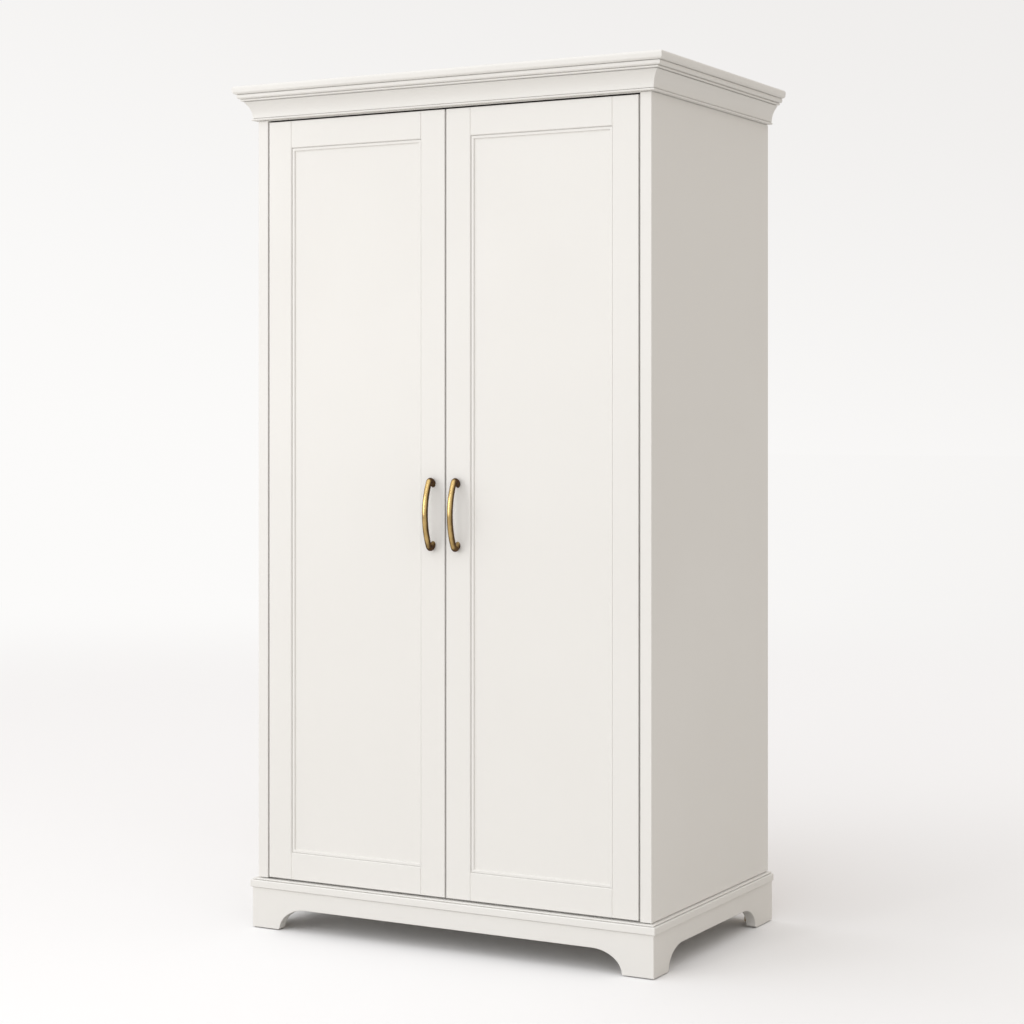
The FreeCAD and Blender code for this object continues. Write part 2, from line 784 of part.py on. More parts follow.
def bead_strip(start, end, normal):
    """One panel bead between two corners of the frame opening, mitred at both ends."""
    along = end - start
    length = along.Length
    along = along / length
    low = BEAD_RECESS
    high = PANEL_RECESS
    width = BEAD_WIDTH
    curve = BEAD_ROUND
    diagonal = curve * (1 - math.sqrt(0.5))
    outline = [
        (0.0, low + QUIRK_DEPTH),
        (QUIRK_WIDTH, low + QUIRK_DEPTH),
        (QUIRK_WIDTH, low),
        (width - curve, low),
        ((width - diagonal, low + diagonal), (width, low + curve)),
        (width, high),
        (0.0, high),
    ]

    def place(across, deep):
        return start + normal * across + Vector(0, deep, 0)

    bar = outline_face(outline, place).extrude(along * length)
    corners = [
        start,
        end,
        end + normal * width - along * width,
        start + normal * width + along * width,
    ]
    wedge = Part.Face(Part.makePolygon(corners + corners[:1])).extrude(Vector(0, high, 0))
    return bar.common(wedge)


def make_door_left():
    """The left door's stiles, rails, panel and beads."""
    hinge_edge = DOOR_LEFT + STILE_WIDTH
    lock_edge = DOOR_RIGHT - STILE_WIDTH
    open_low = DOOR_LOW + BOTTOM_RAIL_WIDTH
    open_high = DOOR_HIGH - TOP_RAIL_WIDTH
    tongue_front = FRONT + PANEL_RECESS
    tongue_back = tongue_front + PANEL_THICK
    groove_left = hinge_edge - GROOVE_DEPTH
    groove_right = lock_edge + GROOVE_DEPTH
    groove = box(groove_left, groove_right, tongue_front, tongue_back, DOOR_LOW, DOOR_HIGH)
    bores = door_left_bores()
    middle = (DOOR_LOW + DOOR_HIGH) / 2

    stiles = (
        ("door_left_hinge_stile", DOOR_LEFT, hinge_edge),
        ("door_left_lock_stile", DOOR_RIGHT, lock_edge),
    )
    for name, outer, inner in stiles:
        stile = box(
            min(outer, inner), max(outer, inner), FRONT, DOOR_BACK, DOOR_LOW, DOOR_HIGH
        )
        across = (outer + inner) / 2
        rim = [Vector(outer, FRONT, middle), Vector(outer, DOOR_BACK, middle)]
        for height in (DOOR_LOW, DOOR_HIGH):
            rim += [Vector(across, FRONT, height), Vector(across, DOOR_BACK, height)]
        stile = bevelled(stile, [Vector(inner, FRONT, middle)])
        stile = softened(stile, rim)
        nodes[name] = stile.cut([groove] + bores)

    rails = (
        ("door_left_top_rail", DOOR_HIGH, open_high, open_high),
        ("door_left_bottom_rail", DOOR_LOW, open_low, open_low - GROOVE_DEPTH),
    )
    across = (hinge_edge + lock_edge) / 2
    for name, outer, inner, slot_low in rails:
        low = min(outer, inner)
        high = max(outer, inner)
        rail = box(hinge_edge, lock_edge, FRONT, DOOR_BACK, low, high)
        arrises = [
            Vector(hinge_edge, FRONT, (low + high) / 2),
            Vector(lock_edge, FRONT, (low + high) / 2),
            Vector(across, FRONT, inner),
        ]
        rim = [Vector(across, FRONT, outer), Vector(across, DOOR_BACK, outer)]
        rail = softened(bevelled(rail, arrises), rim)
        tenon = box(groove_left, groove_right, tongue_front, tongue_back, low, high)
        slot = box(
            groove_left,
            groove_right,
            tongue_front,
            tongue_back,
            slot_low,
            slot_low + GROOVE_DEPTH,
        )
        nodes[name] = fused([rail, tenon]).cut(slot)

    nodes["door_left_panel"] = box(
        groove_left + PANEL_SLACK,
        groove_right - PANEL_SLACK,
        tongue_front,
        tongue_back,
        open_low - GROOVE_DEPTH + PANEL_SLACK,
        open_high + GROOVE_DEPTH - PANEL_SLACK,
    )

    corners = [
        Vector(hinge_edge, FRONT, open_low),
        Vector(lock_edge, FRONT, open_low),
        Vector(lock_edge, FRONT, open_high),
        Vector(hinge_edge, FRONT, open_high),
    ]
    normals = [UP, LEFT, UP * -1, RIGHT]
    strips = [
        bead_strip(corners[side], corners[(side + 1) % 4], normals[side]) for side in range(4)
    ]
    nodes["door_left_beads"] = group(strips)


def handle_path():
    """The bar's centre line as (reach, height) points: foot, elbow and half of the bow."""
    turn = math.radians(FOOT_ANGLE)
    bow_turn = math.asin(ELBOW_Z / (BOW_RADIUS - ELBOW_RADIUS))
    bow_centre = HANDLE_REACH - BOW_RADIUS
    elbow_reach = bow_centre + (BOW_RADIUS - ELBOW_RADIUS) * math.cos(bow_turn)
    elbow = (elbow_reach, ELBOW_Z)

    def on_elbow(angle):
        return (
            elbow[0] + ELBOW_RADIUS * math.cos(angle),
            elbow[1] + ELBOW_RADIUS * math.sin(angle),
        )

    foot_turn = math.pi / 2 + turn
    foot_top = on_elbow(foot_turn)
    drop = foot_top[0] * math.tan(turn)
    return {
        "foot": (0.0, foot_top[1] - drop),
        "foot_top": foot_top,
        "elbow_middle": on_elbow((foot_turn + bow_turn) / 2),
        "elbow_end": on_elbow(bow_turn),
        "bow_middle": (HANDLE_REACH, 0.0),
    }


def handle_foot_z():
    """How far each foot's centre lies from the middle of the handle."""
    return handle_path()["foot"][1]


def make_handle_left():
    """A bow handle: a long arc whose ends curl over into short slanted feet."""
    path = handle_path()
    slope = math.tan(math.radians(FOOT_ANGLE))
    buried = (-HANDLE_RADIUS, path["foot"][1] - HANDLE_RADIUS * slope)

    def place(point, way):
        return Vector(HANDLE_X, FRONT - point[0], HANDLE_Z + way * point[1])

    edges = []
    for way in (1, -1):
        edges.append(Part.LineSegment(place(buried, way), place(path["foot_top"], way)).toShape())
        edges.append(
            Part.Arc(
                place(path["foot_top"], way),
                place(path["elbow_middle"], way),
                place(path["elbow_end"], way),
            ).toShape()
        )
    edges.append(
        Part.Arc(
            place(path["elbow_end"], 1), place(path["bow_middle"], 1), place(path["elbow_end"], -1)
        ).toShape()
    )
    spine = Part.Wire(Part.sortEdges(edges)[0])
    start = place(buried, 1)
    section = Part.makeCircle(HANDLE_RADIUS, start, place(path["foot_top"], 1) - start)
    bar = spine.makePipeShell([Part.Wire([section])], True, False)
    reach = 4 * HANDLE_RADIUS
    behind = box(
        HANDLE_X - reach,
        HANDLE_X + reach,
        FRONT,
        FRONT + reach,
        HANDLE_Z - 2 * ELBOW_Z,
        HANDLE_Z + 2 * ELBOW_Z,
    )
    bar = Part.Solid(bar) if bar.ShapeType == "Shell" else bar
    nodes["door_left_handle"] = bar.cut([behind] + handle_fixings().pilots)
    nodes["door_left_handle_screws"] = group(handle_fixings().screws)


def make_door_left_fittings():
    """The left door's hinge cups, their screws, the strike plate and the bumpers."""
    fixings = cup_fixings()
    cups = []
    for height in HINGE_HEIGHTS:
        corner = hinge_corner(height)
        centre = corner + Vector(CUP_CENTRE, DOOR_THICK, 0)
        bottom = centre - Vector(0, CUP_DEPTH - PILOT_SLACK, 0)
        shell = rod(CUP_RADIUS - PILOT_SLACK, bottom, INWARDS, CUP_DEPTH - PILOT_SLACK)
        flange = rod(FLANGE_RADIUS, centre, INWARDS, FLANGE_THICK)
        ear_x = corner.x + CUP_CENTRE + EAR_OFFSET
        ears = box(
            ear_x - EAR_HALF,
            ear_x + EAR_HALF,
            DOOR_BACK,
            DOOR_BACK + FLANGE_THICK,
            height - EAR_SCREW - EAR_HALF,
            height + EAR_SCREW + EAR_HALF,
        )
        hollow = rod(
            CUP_RADIUS - CUP_WALL,
            bottom + Vector(0, CUP_FLOOR, 0),
            INWARDS,
            CUP_DEPTH + FLANGE_THICK,
        )
        cups.append(fused([shell, flange, ears]).cut([hollow] + fixings.pilots))
    nodes["door_left_hinge_cups"] = group(cups)
    strike = strike_fixings()
    nodes["door_left_fitting_screws"] = group(fixings.screws + strike.screws)

    plate = box(
        CATCH_X - CATCH_BODY / 2,
        CATCH_X + CATCH_BODY / 2,
        DOOR_BACK,
        DOOR_BACK + STRIKE_THICK,
        CEILING - CATCH_HEIGHT,
        CEILING - PANEL_SLACK,
    )
    seat = rod(strike.head_radius + PILOT_SLACK, strike_seat(), INWARDS, STRIKE_THICK)
    nodes["door_left_strike_plate"] = plate.cut([seat] + strike.pilots)
    bumpers = []
    for height in BOARD_MIDDLES:
        for across in (DOOR_LEFT + BUMPER_INSET, DOOR_RIGHT - BUMPER_INSET):
            bumpers.append(
                rod(BUMPER_RADIUS, Vector(across, DOOR_BACK, height), INWARDS, BUMPER_THICK)
            )
    nodes["door_left_bumpers"] = group(bumpers)


def make_door_right():
    """The right door, a mirror image of the left one."""
    for name in [name for name in nodes if name.startswith("door_left")]:
        nodes[name.replace("door_left", "door_right")] = mirrored(nodes[name])


# ---------------------------------------------------------------- hinges

def hinge_arm(height):
    """A cranked arm: a bar on the mounting plate with a curved nose inside the cup."""
    corner = hinge_corner(height)
    nose = ring_sector(
        corner, NOSE_INNER, NOSE_OUTER, NOSE_ANGLES, height - NOSE_HALF, height + NOSE_HALF
    )
    neck = box(
        corner.x + ARM_BASE,
        corner.x + ARM_TOP,
        FRONT + ARM_NECK,
        FRONT + ARM_SHOULDER,
        height - NOSE_HALF,
        height + NOSE_HALF,
    )
    arm = box(
        corner.x + ARM_BASE,
        corner.x + ARM_TOP,
        FRONT + ARM_SHOULDER,
        FRONT + ARM_END,
        height - ARM_HALF,
        height + ARM_HALF,
    )
    adjuster = rod(
        ADJUSTER_RADIUS, corner + Vector(ARM_TOP, ARM_END - ARM_HALF, 0), RIGHT, ADJUSTER_THICK
    )
    return fused([nose, neck, arm, adjuster])


def hinge_plate(height, pilots):
    """A winged mounting plate on the side panel."""
    corner = hinge_corner(height)
    spine = box(
        -INNER,
        corner.x + ARM_BASE,
        FRONT + PLATE_SCREW - 2 * ARM_HALF,
        FRONT + ARM_END - PLATE_SETBACK,
        height - ARM_HALF,
        height + ARM_HALF,
    )
    wings = box(
        -INNER,
        corner.x + ARM_BASE,
        FRONT + PLATE_SCREW - WING_HALF,
        FRONT + PLATE_SCREW + WING_HALF,
        height - WING_SCREW - WING_HALF,
        height + WING_SCREW + WING_HALF,
    )
    return fused([spine, wings]).cut(pilots)


def hinge_link(height):
    """The link between arm and cup: two curved cheeks joined by a thin web."""
    corner = hinge_corner(height)
    inside = NOSE_HALF + LINK_GAP
    outside = inside + LINK_THICK
    cheeks = [
        ring_sector(corner, LINK_INNER, LINK_OUTER, LINK_ANGLES, height - outside, height - inside),
        ring_sector(corner, LINK_INNER, LINK_OUTER, LINK_ANGLES, height + inside, height + outside),
    ]
    web = ring_sector(
        corner,
        LINK_WEB,
        LINK_OUTER,
        (LINK_ANGLES[0], LINK_WEB_END),
        height - inside,
        height + inside,
    )
    return fused(cheeks[:1] + [web] + cheeks[1:])


def make_hinges():
    """Arms, plates and links of all the hinges."""
    fixings = plate_fixings()
    nodes["hinge_arms"] = group(both([hinge_arm(height) for height in HINGE_HEIGHTS]))
    nodes["hinge_plates"] = group(
        both([hinge_plate(height, fixings.pilots) for height in HINGE_HEIGHTS])
    )
    nodes["hinge_plate_screws"] = group(both(fixings.screws))
    links = group([hinge_link(height) for height in HINGE_HEIGHTS])
    nodes["hinge_links_left"] = links
    nodes["hinge_links_right"] = mirrored(links)


def make_catches():
    """The magnetic catches: eared housings under the top board, each with a magnet in front."""
    face = DOOR_BACK + STRIKE_THICK + CATCH_AIR
    body = box(
        CATCH_X - CATCH_BODY / 2,
        CATCH_X + CATCH_BODY / 2,
        face,
        face + CATCH_DEPTH,
        CEILING - CATCH_HEIGHT,
        CEILING,
    )
    ears = box(
        CATCH_X - CATCH_WIDTH / 2,
        CATCH_X + CATCH_WIDTH / 2,
        face + CATCH_EAR,
        face + CATCH_DEPTH - CATCH_EAR,
        CEILING - CATCH_EAR,
        CEILING,
    )

    def magnet(slack):
        middle = CEILING - CATCH_HEIGHT / 2
        return box(
            CATCH_X - MAGNET_WIDTH / 2 - slack,
            CATCH_X + MAGNET_WIDTH / 2 + slack,
            face,
            face + MAGNET_DEPTH + slack,
            middle - MAGNET_HEIGHT / 2 - slack,
            middle + MAGNET_HEIGHT / 2 + slack,
        )

    housing = fused([body, ears]).cut([magnet(PILOT_SLACK)] + catch_fixings().pilots)
    nodes["magnetic_catches"] = group(both([housing]))
    nodes["catch_magnets"] = group(both([magnet(0.0)]))


# ---------------------------------------------------------------- build

make_sides()
make_boards()
make_back()
make_inside()
make_plinth()
make_base_moulding()
make_cornice()
nodes["carcass_dowels"] = group(both(dowels()))
make_door_left()
make_handle_left()
make_door_left_fittings()
make_door_right()
make_hinges()
make_catches()

os.makedirs("parts", exist_ok=True)
for name, shape in nodes.items():
    shape.exportStep("parts/" + name + ".step")
    print(name, len(shape.Solids), "solids, valid" if shape.isValid() else "solids, NOT VALID")
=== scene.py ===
"""The wardrobe's looks: painted boards, aged brass, plated hardware, floor, light and camera."""
import json
import math
import bpy
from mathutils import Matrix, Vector


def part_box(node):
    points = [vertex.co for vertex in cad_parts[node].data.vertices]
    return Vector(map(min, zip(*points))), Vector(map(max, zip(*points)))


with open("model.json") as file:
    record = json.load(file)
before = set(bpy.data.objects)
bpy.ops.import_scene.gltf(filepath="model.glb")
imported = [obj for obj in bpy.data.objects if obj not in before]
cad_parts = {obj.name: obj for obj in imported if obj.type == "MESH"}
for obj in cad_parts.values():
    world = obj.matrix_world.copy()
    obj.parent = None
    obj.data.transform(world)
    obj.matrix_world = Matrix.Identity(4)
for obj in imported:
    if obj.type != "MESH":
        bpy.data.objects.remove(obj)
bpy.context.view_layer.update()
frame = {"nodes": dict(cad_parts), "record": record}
NODES = frame["nodes"]
SLOTS = {part["node"]: part["material_slot"] for part in frame["record"]["subparts"]}
SCENE = bpy.context.scene

# Camera: level, at the right front, 4.9 m away in plan
CAMERA_PLACE = (2.396, -4.320, 1.112)
CAMERA_TURN = 28.97
CAMERA_LENS = 79.19
CAMERA_SHIFT = -0.0917

# Light: a broad bright side to the left and front, a dim warm side to the right and back
KEY_SIDE = Vector((-0.45, -0.75, 0.46)).normalized()
SKY_BRIGHT = (0.985, 0.983, 0.983, 1)
SKY_DIM = (0.515, 0.470, 0.418, 1)
SKY_FADE = (-0.3, 0.7)
SKY_TOP = (0.27, 0.27, 0.27, 1)
SKY_TOP_FADE = (0.3, 1.0)
KEY_PLACE = Vector((-3.4, -4.9, 1.9))
KEY_SIZE = (2.4, 2.6)
KEY_POWER = 46.0
FRONT_PLACE = Vector((-0.40, -3.8, 2.3))
FRONT_SIZE = (0.28, 3.0)
FRONT_POWER = 10.5
LIGHTS_AIM = Vector((0, -0.3, 1.0))
LIGHTS_COLOUR = (1.0, 0.985, 0.965)

# Backdrop and floor
BACKDROP_LIGHT = (0.972, 0.964, 0.955, 1)
BACKDROP_SHADE = (0.865, 0.850, 0.838, 1)
BACKDROP_LEAN = 0.35
BACKDROP_FADE = (-0.10, 0.30)
FLOOR_REACH = 60.0
FLOOR_SEEN = (0.952, 0.952, 0.964, 1)
FLOOR_BOUNCE = (0.66, 0.645, 0.625, 1)
FLOOR_FADE = (3.5, 9.0)

# Colours of the other finishes: pairs with the darker one first, and one for pores in wood
PAINT = ((0.842, 0.829, 0.803, 1), (0.855, 0.843, 0.818, 1))
FOIL = ((0.80, 0.79, 0.765, 1), (0.83, 0.82, 0.80, 1))
BARE_FIBRE = ((0.30, 0.19, 0.105, 1), (0.43, 0.29, 0.175, 1))
LACQUER = ((0.76, 0.75, 0.725, 1), (0.80, 0.79, 0.77, 1))
WOOD_RINGS = ((0.66, 0.49, 0.30, 1), (0.78, 0.63, 0.43, 1))
WOOD_PORES = (0.50, 0.34, 0.19, 1)
NICKEL = ((0.55, 0.53, 0.50, 1), (0.66, 0.64, 0.60, 1))
ZINC = ((0.47, 0.48, 0.50, 1), (0.64, 0.65, 0.67, 1))
CHROME = ((0.62, 0.63, 0.65, 1), (0.70, 0.71, 0.72, 1))
WHITE_PLASTIC = ((0.76, 0.76, 0.74, 1), (0.80, 0.80, 0.78, 1))
GREY_PLASTIC = ((0.08, 0.08, 0.08, 1), (0.12, 0.12, 0.12, 1))
FERRITE = ((0.022, 0.022, 0.024, 1), (0.038, 0.038, 0.041, 1))
CLEAR_RUBBER = ((0.74, 0.74, 0.70, 1), (0.82, 0.82, 0.79, 1))

# Brass colours, and the way that the painted highlight on the handles faces; the dark end is real patina
# in the mottle and also painted dark reflection on the flanks
BRASS_BRIGHT = (0.72, 0.505, 0.205, 1)
BRASS_PATINA_AND_DARK_REFLECTION = (0.085, 0.044, 0.014, 1)
BRASS_PITS = (0.08, 0.040, 0.014, 1)
BRASS_EDGE = (0.35, 0.22, 0.10, 1)
BRASS_HIGHLIGHT_WAY = Vector((0.22, -0.94, 0.24))
BRASS_HIGHLIGHT_DEPTHS = (0.010, 0.030)


# ---------------------------------------------------------------- shader helpers

class Finish:
    """One procedural material, with short names for making and joining its nodes."""

    def __init__(self, name, **values):
        self.material = bpy.data.materials.new(name)
        self.material.use_nodes = True
        self.nodes = self.material.node_tree.nodes
        self.links = self.material.node_tree.links
        self.surface = self.nodes["Principled BSDF"]
        self.place = self.nodes.new("ShaderNodeTexCoord").outputs["Object"]
        for socket, value in values.items():
            self.put(self.surface.inputs[socket.replace("_", " ")], value)

    def put(self, socket, value):
        """Set a socket, or join it to another one."""
        if isinstance(value, bpy.types.NodeSocket):
            self.links.new(value, socket)
        else:
            socket.default_value = value

    def noise(self, scale, detail=2.0, stretch=(1, 1, 1), distortion=0.0):
        """Noise from 0 to 1 in the part's own space, in cycles per metre."""
        mapping = self.nodes.new("ShaderNodeMapping")
        mapping.inputs["Scale"].default_value = [scale * factor for factor in stretch]
        self.links.new(self.place, mapping.inputs["Vector"])
        texture = self.nodes.new("ShaderNodeTexNoise")
        texture.inputs["Scale"].default_value = 1.0
        texture.inputs["Detail"].default_value = detail
        texture.inputs["Distortion"].default_value = distortion
        self.links.new(mapping.outputs["Vector"], texture.inputs["Vector"])
        return texture.outputs["Fac"]

    def specks(self, scale, radius):
        """Small round spots, 1 at their middles and 0 elsewhere."""
        texture = self.nodes.new("ShaderNodeTexVoronoi")
        texture.inputs["Scale"].default_value = scale
        self.links.new(self.place, texture.inputs["Vector"])
        return self.spread(texture.outputs["Distance"], radius, 0.0, 0.0, 1.0)

    def spread(self, value, low, high, new_low, new_high):
        """A value taken smoothly from one range to another."""
        node = self.nodes.new("ShaderNodeMapRange")
        node.interpolation_type = "SMOOTHSTEP"
        for socket, setting in (
            ("Value", value),
            ("From Min", low),
            ("From Max", high),
            ("To Min", new_low),
            ("To Max", new_high),
        ):
            self.put(node.inputs[socket], setting)
        return node.outputs["Result"]

    def math(self, operation, first, second):
        """Arithmetic on two values."""
        node = self.nodes.new("ShaderNodeMath")
        node.operation = operation
        self.put(node.inputs[0], first)
        self.put(node.inputs[1], second)
        return node.outputs["Value"]

    def blend(self, first, first_share, second, second_share):
        """The sum of two values, each taken by its share."""
        return self.math(
            "ADD", self.math("MULTIPLY", first, first_share), self.math("MULTIPLY", second, second_share)
        )

    def mix(self, factor, first, second):
        """A colour between two others."""
        node = self.nodes.new("ShaderNodeMix")
        node.data_type = "RGBA"
        self.put(node.inputs["Factor"], factor)
        self.put(node.inputs["A"], first)
        self.put(node.inputs["B"], second)
        return node.outputs["Result"]

    def axis(self, letter):
        """How far along X, Y or Z the point lies in the part's own space, in metres."""
        node = self.nodes.new("ShaderNodeSeparateXYZ")
        self.links.new(self.place, node.inputs["Vector"])
        return node.outputs[letter]

    def facing(self, way):
        """How squarely the surface faces a way in the part's own space, from -1 to 1."""
        node = self.nodes.new("ShaderNodeVectorMath")
        node.operation = "DOT_PRODUCT"
        node.inputs[1].default_value = way
        self.links.new(self.place.node.outputs["Normal"], node.inputs[0])
        return node.outputs["Value"]

    def relief(self, height, distance):
        """Surface relief: heights from 0 to 1, and what 1 stands for in metres."""
        node = self.nodes.new("ShaderNodeBump")
        node.inputs["Strength"].default_value = 1.0
        node.inputs["Distance"].default_value = distance
        self.put(node.inputs["Height"], height)
        self.links.new(node.outputs["Normal"], self.surface.inputs["Normal"])

    def done(self, colour, roughness):
        """Finish with a colour and a roughness, and give the material."""
        self.put(self.surface.inputs["Base Color"], colour)
        self.put(self.surface.inputs["Roughness"], roughness)
        return self.material


def along(axis, fine, coarse):
    """Scale factors that stretch a texture along one axis."""
    return tuple(coarse if index == axis else fine for index in range(3))


# ---------------------------------------------------------------- finishes

def make_paint(axis):
    """Satin off-white paint, laid off along one axis, with faint strokes and nibs."""
    finish = Finish("paint_" + "xyz"[axis], IOR=1.47)
    cloud = finish.noise(1.7, detail=3.0)
    strokes = finish.noise(1.0, detail=3.0, stretch=along(axis, 330.0, 4.0))
    peel = finish.noise(520.0, detail=1.0)
    nibs = finish.specks(46.0, 0.035)
    tone = finish.blend(cloud, 0.9, strokes, 0.1)
    colour = finish.mix(finish.spread(tone, 0.36, 0.64, 0.0, 1.0), *PAINT)
    height = finish.blend(strokes, 0.22, peel, 0.35)
    height = finish.math("ADD", height, finish.math("MULTIPLY", nibs, 0.8))
    finish.relief(height, 0.00006)
    return finish.done(colour, finish.spread(tone, 0.3, 0.7, 0.46, 0.36))


def make_foil():
    """Smooth white foil on board, with a faint pearl grain."""
    finish = Finish("interior_foil", IOR=1.5)
    cloud = finish.noise(2.2, detail=3.0)
    grain = finish.noise(900.0, detail=2.0)
    finish.relief(grain, 0.00004)
    colour = finish.mix(finish.spread(cloud, 0.35, 0.65, 0.0, 1.0), *FOIL)
    return finish.done(colour, finish.spread(grain, 0.3, 0.7, 0.34, 0.46))


def make_back_board():
    """Thin fibreboard: white lacquer inside, bare pressed fibre outside."""
    finish = Finish("back_board", IOR=1.48)
    fibres = finish.noise(1.0, detail=5.0, stretch=(420.0, 420.0, 170.0), distortion=0.6)
    blotches = finish.noise(5.0, detail=4.0)
    tone = finish.blend(fibres, 0.6, blotches, 0.4)
    bare = finish.mix(finish.spread(tone, 0.36, 0.64, 0.0, 1.0), *BARE_FIBRE)
    lacquer = finish.mix(finish.spread(blotches, 0.3, 0.7, 0.0, 1.0), *LACQUER)
    inside = finish.math("GREATER_THAN", finish.facing((0, -1, 0)), 0.5)
    finish.relief(fibres, 0.00012)
    rough = finish.spread(inside, 0.0, 1.0, 0.78, 0.5)
    return finish.done(finish.mix(inside, bare, lacquer), rough)


def make_raw_wood():
    """Bare sanded softwood with growth rings."""
    finish = Finish("raw_wood", IOR=1.45)
    wave = finish.nodes.new("ShaderNodeTexWave")
    wave.wave_type = "RINGS"
    wave.rings_direction = "Z"
    wave.inputs["Scale"].default_value = 55.0
    wave.inputs["Distortion"].default_value = 5.0
    wave.inputs["Detail"].default_value = 3.0
    wave.inputs["Detail Scale"].default_value = 0.6
    finish.links.new(finish.place, wave.inputs["Vector"])
    pores = finish.noise(1.0, detail=3.0, stretch=(700.0, 700.0, 30.0))
    rings = finish.mix(wave.outputs["Fac"], *WOOD_RINGS)
    colour = finish.mix(finish.spread(pores, 0.55, 0.75, 0.0, 0.5), rings, WOOD_PORES)
    finish.relief(pores, 0.0001)
    return finish.done(colour, finish.spread(pores, 0.3, 0.7, 0.55, 0.7))


def make_brass():
    """Aged brass with a painted highlight: bright where the handle faces the key light's reflection near
    its front, painted dark reflection on the flanks, mottled patina and pits, finely scratched.
    """
    finish = Finish(
        "aged_brass_painted_highlight", Metallic=1.0, Specular_Tint=BRASS_EDGE, Coat_Weight=0.35, Coat_Roughness=0.10
    )
    patches = finish.noise(36.0, detail=4.0, distortion=0.4)
    scratches = finish.noise(1.0, detail=2.0, stretch=(2600.0, 2600.0, 90.0))
    pits = finish.specks(420.0, 0.12)
    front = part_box("door_left_handle")[0][1]
    depth = finish.math("SUBTRACT", finish.axis("Y"), front)
    # Painted highlight: the brass turns bright where its surface faces the key light's reflection, kept
    # near the handle's front; the flanks take the dark colour as painted dark reflection
    highlight_by_depth = finish.spread(depth, *BRASS_HIGHLIGHT_DEPTHS, 1.0, 0.35)
    painted_highlight = finish.spread(finish.facing(BRASS_HIGHLIGHT_WAY), 0.45, 0.98, 0.0, 1.0)
    painted_highlight = finish.math("MULTIPLY", painted_highlight, highlight_by_depth)
    grime = finish.blend(patches, 0.7, scratches, 0.3)
    mottle = finish.spread(grime, 0.34, 0.66, -0.22, 0.22)
    # Painted highlight mixed with the real mottle of patina; the roughness follows it too
    highlight_and_mottle = finish.spread(finish.math("ADD", painted_highlight, mottle), 0.0, 1.0, 0.0, 1.0)
    metal = finish.mix(highlight_and_mottle, BRASS_PATINA_AND_DARK_REFLECTION, BRASS_BRIGHT)
    colour = finish.mix(finish.math("MULTIPLY", pits, 0.6), metal, BRASS_PITS)
    height = finish.blend(scratches, 0.5, pits, -0.4)
    finish.relief(height, 0.00005)
    return finish.done(colour, finish.spread(highlight_and_mottle, 0.0, 1.0, 0.38, 0.12))


def make_plating(name, colours, stretch, rough):
    """Plated or drawn steel: a fine grain and cloudy patches."""
    finish = Finish(name, Metallic=1.0)
    clouds = finish.noise(55.0, detail=4.0)
    grain = finish.noise(1.0, detail=2.0, stretch=stretch)
    tone = finish.blend(clouds, 0.6, grain, 0.4)
    finish.relief(grain, 0.00002)
    low, high = rough
    colour = finish.mix(finish.spread(tone, 0.36, 0.64, 0.0, 1.0), *colours)
    return finish.done(colour, finish.spread(tone, 0.3, 0.7, high, low))


def make_moulded(name, colours, grain_scale, rough, **values):
    """A moulded or sintered piece with a fine, even grain."""
    finish = Finish(name, **values)
    grain = finish.noise(grain_scale, detail=3.0)
    clouds = finish.noise(24.0, detail=2.0)
    finish.relief(grain, 0.00005)
    colour = finish.mix(finish.spread(clouds, 0.35, 0.65, 0.0, 1.0), *colours)
    return finish.done(colour, finish.spread(grain, 0.3, 0.7, rough - 0.06, rough + 0.06))


def longest_axis(name):
    """The axis that a node is longest along."""
    low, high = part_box(name)
    sizes = [high[axis] - low[axis] for axis in range(3)]
    return sizes.index(max(sizes))


def dress_nodes():
    """Give every carried-over node the finish of its slot."""
    paints = [make_paint(axis) for axis in range(3)]
    finishes = {
        "interior_board": make_foil(),
        "back_board": make_back_board(),
        "raw_wood": make_raw_wood(),
        "brass": make_brass(),
        "nickel": make_plating("nickel", NICKEL, (900.0, 900.0, 900.0), (0.26, 0.38)),
        "screw_steel": make_plating("zinc", ZINC, (1500.0, 1500.0, 1500.0), (0.30, 0.45)),
        "chrome": make_plating("chrome", CHROME, (12.0, 2200.0, 2200.0), (0.07, 0.14)),
        "white_plastic": make_moulded("white_plastic", WHITE_PLASTIC, 700.0, 0.45),
        "ferrite": make_moulded("ferrite", FERRITE, 1100.0, 0.62),
        "grey_plastic": make_moulded("grey_plastic", GREY_PLASTIC, 600.0, 0.55),
        "clear_rubber": make_moulded("clear_rubber", CLEAR_RUBBER, 300.0, 0.3, Transmission_Weight=0.6),
    }
    for name, node in NODES.items():
        slot = SLOTS[name]
        finish = paints[longest_axis(name)] if slot == "paint" else finishes[slot]
        node.data.materials.clear()
        node.data.materials.append(finish)


# ---------------------------------------------------------------- studio

def make_camera():
    """The level camera, shifted so that the whole wardrobe is in frame."""
    data = bpy.data.cameras.new("camera")
    data.lens = CAMERA_LENS
    data.sensor_width = 36.0
    data.shift_y = CAMERA_SHIFT
    camera = bpy.data.objects.new("camera", data)
    camera.location = CAMERA_PLACE
    camera.rotation_euler = (math.radians(90), 0, math.radians(CAMERA_TURN))
    SCENE.collection.objects.link(camera)
    SCENE.camera = camera


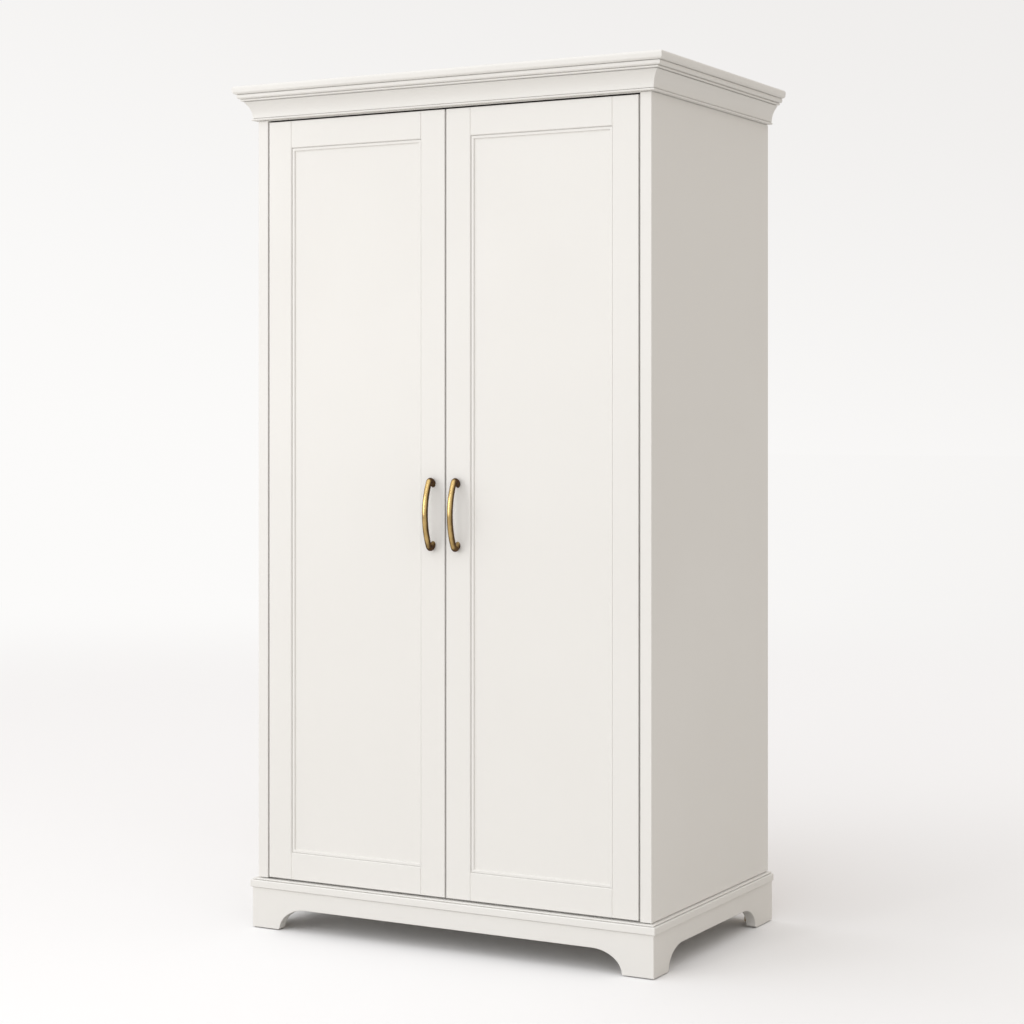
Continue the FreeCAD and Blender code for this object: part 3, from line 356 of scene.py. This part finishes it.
def towards(tree, direction, way, fade, dim, bright):
    """A colour that changes along one direction, from dim to bright."""
    low, high = fade
    dot = tree.nodes.new("ShaderNodeVectorMath")
    dot.operation = "DOT_PRODUCT"
    dot.inputs[1].default_value = way
    tree.links.new(direction, dot.inputs[0])
    spread = tree.nodes.new("ShaderNodeMapRange")
    spread.interpolation_type = "SMOOTHSTEP"
    spread.inputs["From Min"].default_value = low
    spread.inputs["From Max"].default_value = high
    tree.links.new(dot.outputs["Value"], spread.inputs["Value"])
    mix = tree.nodes.new("ShaderNodeMix")
    mix.data_type = "RGBA"
    mix.inputs["A"].default_value = dim
    mix.inputs["B"].default_value = bright
    tree.links.new(spread.outputs["Result"], mix.inputs["Factor"])
    return mix.outputs["Result"]


def backdrop(tree, direction):
    """The pale backdrop's colour, a little darker to the upper right."""
    turn = math.radians(CAMERA_TURN)
    way = (BACKDROP_LEAN * math.cos(turn), BACKDROP_LEAN * math.sin(turn), 1.0)
    return towards(tree, direction, way, BACKDROP_FADE, BACKDROP_LIGHT, BACKDROP_SHADE)


def pick_seen(tree, seen, unseen):
    """One colour for what the camera sees, and another for the light that is passed on."""
    mix = tree.nodes.new("ShaderNodeMix")
    mix.data_type = "RGBA"
    camera_ray = tree.nodes.new("ShaderNodeLightPath").outputs["Is Camera Ray"]
    tree.links.new(camera_ray, mix.inputs["Factor"])
    for socket, colour in (("A", unseen), ("B", seen)):
        if isinstance(colour, bpy.types.NodeSocket):
            tree.links.new(colour, mix.inputs[socket])
        else:
            mix.inputs[socket].default_value = colour
    return mix.outputs["Result"]


def make_floor():
    """A pale floor that fades into the backdrop far from the wardrobe."""
    reach = FLOOR_REACH
    mesh = bpy.data.meshes.new("floor")
    corners = [(-reach, -reach, 0), (reach, -reach, 0), (reach, reach, 0), (-reach, reach, 0)]
    mesh.from_pydata(corners, [], [(0, 1, 2, 3)])
    floor = bpy.data.objects.new("floor", mesh)
    SCENE.collection.objects.link(floor)
    material = bpy.data.materials.new("floor")
    material.use_nodes = True
    tree = material.node_tree
    tree.nodes.remove(tree.nodes["Principled BSDF"])
    place = tree.nodes.new("ShaderNodeTexCoord").outputs["Object"]
    near = tree.nodes.new("ShaderNodeBsdfDiffuse")
    tree.links.new(pick_seen(tree, FLOOR_SEEN, FLOOR_BOUNCE), near.inputs["Color"])
    way = tree.nodes.new("ShaderNodeVectorMath")
    way.operation = "NORMALIZE"
    tree.links.new(place, way.inputs[0])
    far = tree.nodes.new("ShaderNodeEmission")
    far_colour = pick_seen(tree, backdrop(tree, way.outputs["Vector"]), FLOOR_BOUNCE)
    tree.links.new(far_colour, far.inputs["Color"])
    distance = tree.nodes.new("ShaderNodeVectorMath")
    distance.operation = "LENGTH"
    tree.links.new(place, distance.inputs[0])
    fade = tree.nodes.new("ShaderNodeMapRange")
    fade.interpolation_type = "SMOOTHERSTEP"
    fade.inputs["From Min"].default_value = FLOOR_FADE[0]
    fade.inputs["From Max"].default_value = FLOOR_FADE[1]
    tree.links.new(distance.outputs["Value"], fade.inputs["Value"])
    blend = tree.nodes.new("ShaderNodeMixShader")
    tree.links.new(fade.outputs["Result"], blend.inputs["Fac"])
    tree.links.new(near.outputs["BSDF"], blend.inputs[1])
    tree.links.new(far.outputs["Emission"], blend.inputs[2])
    tree.links.new(blend.outputs["Shader"], tree.nodes["Material Output"].inputs["Surface"])
    mesh.materials.append(material)


def make_world():
    """Soft light all round, brighter from one side, and a plain pale backdrop."""
    world = bpy.data.worlds.new("studio")
    world.use_nodes = True
    SCENE.world = world
    tree = world.node_tree
    direction = tree.nodes.new("ShaderNodeTexCoord").outputs["Generated"]
    sides = towards(tree, direction, KEY_SIDE, SKY_FADE, SKY_DIM, SKY_BRIGHT)
    top = towards(tree, direction, (0, 0, 1), SKY_TOP_FADE, (0, 0, 0, 1), SKY_TOP)
    light = tree.nodes.new("ShaderNodeMix")
    light.data_type = "RGBA"
    light.blend_type = "ADD"
    light.inputs["Factor"].default_value = 1.0
    tree.links.new(sides, light.inputs["A"])
    tree.links.new(top, light.inputs["B"])
    colour = pick_seen(tree, backdrop(tree, direction), light.outputs["Result"])
    tree.links.new(colour, tree.nodes["Background"].inputs["Color"])


def make_lights():
    """A large soft box at the left front, and a tall narrow one straight in front."""
    for name, place, size, power in (
        ("key", KEY_PLACE, KEY_SIZE, KEY_POWER),
        ("front", FRONT_PLACE, FRONT_SIZE, FRONT_POWER),
    ):
        data = bpy.data.lights.new(name, "AREA")
        data.shape = "RECTANGLE"
        data.size, data.size_y = size
        data.energy = power
        data.color = LIGHTS_COLOUR
        light = bpy.data.objects.new(name, data)
        light.location = place
        light.rotation_euler = (place - LIGHTS_AIM).to_track_quat("Z", "Y").to_euler()
        light.visible_camera = False
        SCENE.collection.objects.link(light)


dress_nodes()
make_camera()
make_floor()
make_world()
make_lights()
SCENE.view_settings.view_transform = "Standard"
